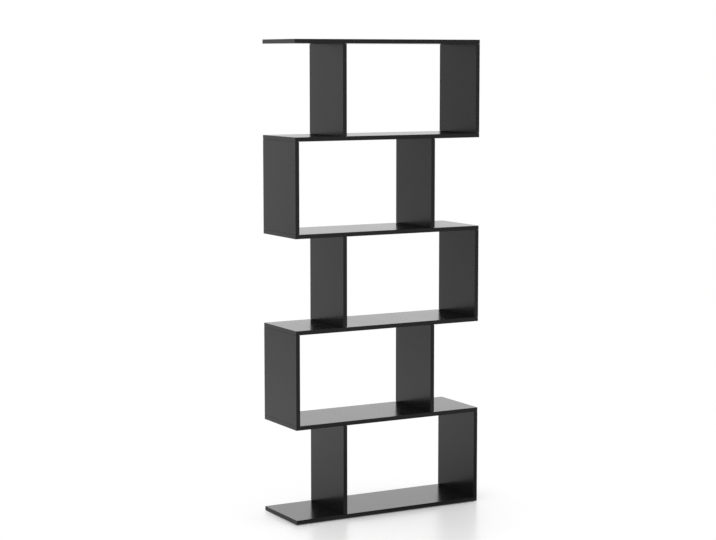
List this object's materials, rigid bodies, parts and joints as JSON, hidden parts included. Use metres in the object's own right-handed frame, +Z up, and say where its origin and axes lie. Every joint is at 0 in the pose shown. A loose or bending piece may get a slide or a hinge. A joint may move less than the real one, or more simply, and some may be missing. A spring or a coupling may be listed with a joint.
{
  "type": "bookcase",
  "caption": "Tall open bookcase of gloss black board, its tiers stepping from side to side, joined with hidden cam fittings and dowels.",
  "frame": {"origin": "on the floor, under the middle of the bottom board", "axes": "+X along the boards to the right seen from the front, +Y to the back (the wall side), +Z up"},
  "size_m": [0.8, 0.268, 1.814],
  "materials": {
    "gloss_black_board": "particle board with a high-gloss black face and edging",
    "bolt_steel": "zinc-plated steel",
    "cam_zinc": "die-cast zinc, bare",
    "glide_plastic": "black moulded plastic"
  },
  "bodies": {
    "root": {"bottom_board": "gloss_black_board", "shelf_1": "gloss_black_board", "shelf_2": "gloss_black_board", "shelf_3": "gloss_black_board", "shelf_4": "gloss_black_board", "top_board": "gloss_black_board", "tier_1_end_upright": "gloss_black_board", "tier_1_inner_upright": "gloss_black_board", "tier_2_end_upright": "gloss_black_board", "tier_2_inner_upright": "gloss_black_board", "tier_3_end_upright": "gloss_black_board", "tier_3_inner_upright": "gloss_black_board", "tier_4_end_upright": "gloss_black_board", "tier_4_inner_upright": "gloss_black_board", "tier_5_end_upright": "gloss_black_board", "tier_5_inner_upright": "gloss_black_board", "cam_bolt_tier_1_end_lower": "bolt_steel", "cam_bolt_tier_1_end_upper": "bolt_steel", "cam_bolt_tier_1_inner_lower": "bolt_steel", "cam_bolt_tier_1_inner_upper": "bolt_steel", "cam_bolt_tier_2_end_lower": "bolt_steel", "cam_bolt_tier_2_end_upper": "bolt_steel", "cam_bolt_tier_2_inner_lower": "bolt_steel", "cam_bolt_tier_2_inner_upper": "bolt_steel", "cam_bolt_tier_3_end_lower": "bolt_steel", "cam_bolt_tier_3_end_upper": "bolt_steel", "cam_bolt_tier_3_inner_lower": "bolt_steel", "cam_bolt_tier_3_inner_upper": "bolt_steel", "cam_bolt_tier_4_end_lower": "bolt_steel", "cam_bolt_tier_4_end_upper": "bolt_steel", "cam_bolt_tier_4_inner_lower": "bolt_steel", "cam_bolt_tier_4_inner_upper": "bolt_steel", "cam_bolt_tier_5_end_lower": "bolt_steel", "cam_bolt_tier_5_end_upper": "bolt_steel", "cam_bolt_tier_5_inner_lower": "bolt_steel", "cam_bolt_tier_5_inner_upper": "bolt_steel", "cam_lock_tier_1_end_lower": "cam_zinc", "cam_lock_tier_1_end_upper": "cam_zinc", "cam_lock_tier_1_inner_lower": "cam_zinc", "cam_lock_tier_1_inner_upper": "cam_zinc", "cam_lock_tier_2_end_lower": "cam_zinc", "cam_lock_tier_2_end_upper": "cam_zinc", "cam_lock_tier_2_inner_lower": "cam_zinc", "cam_lock_tier_2_inner_upper": "cam_zinc", "cam_lock_tier_3_end_lower": "cam_zinc", "cam_lock_tier_3_end_upper": "cam_zinc", "cam_lock_tier_3_inner_lower": "cam_zinc", "cam_lock_tier_3_inner_upper": "cam_zinc", "cam_lock_tier_4_end_lower": "cam_zinc", "cam_lock_tier_4_end_upper": "cam_zinc", "cam_lock_tier_4_inner_lower": "cam_zinc", "cam_lock_tier_4_inner_upper": "cam_zinc", "cam_lock_tier_5_end_lower": "cam_zinc", "cam_lock_tier_5_end_upper": "cam_zinc", "cam_lock_tier_5_inner_lower": "cam_zinc", "cam_lock_tier_5_inner_upper": "cam_zinc", "floor_glide_front_left": "glide_plastic", "floor_glide_front_right": "glide_plastic", "floor_glide_back_left": "glide_plastic", "floor_glide_back_right": "glide_plastic"}
  },
  "joints": []
}
